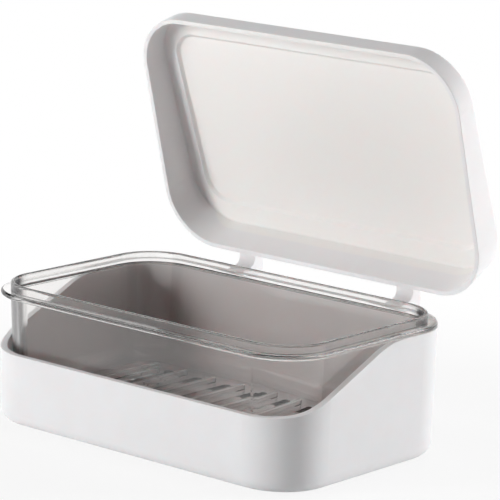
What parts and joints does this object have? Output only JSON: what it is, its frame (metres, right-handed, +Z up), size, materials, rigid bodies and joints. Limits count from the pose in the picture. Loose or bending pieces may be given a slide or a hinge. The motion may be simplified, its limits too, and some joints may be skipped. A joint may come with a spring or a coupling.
{
  "type": "travel soap box",
  "caption": "Rounded oblong soap box: an outer case low at the front, a clear lift-out drain tray with a flange and lip, and a sloping lid on gooseneck hinge arms.",
  "frame": {"origin": "middle of the case's flat underside", "axes": "+X along the length to the right, +Y from the low front to the hinge at the back, +Z up"},
  "size_m": [0.1264, 0.1025, 0.1211],
  "materials": {
    "case_plastic": "satin white moulded polypropylene",
    "tray_plastic": "polished crystal-clear moulded polystyrene",
    "lid_plastic": "satin white moulded polypropylene",
    "pin_steel": "drawn stainless steel wire"
  },
  "bodies": {
    "case": {"outer_case": "case_plastic", "soap_tray": "tray_plastic", "hinge_pin_left": "pin_steel", "hinge_pin_right": "pin_steel"},
    "lid": {"lid": "lid_plastic"}
  },
  "joints": [
    {"name": "lid_hinge", "type": "hinge", "parent": "case", "child": "lid", "pos_m": [0, 0.0466, 0.0348], "axis": [1, 0, 0], "range_deg": [0, 74]}
  ]
}
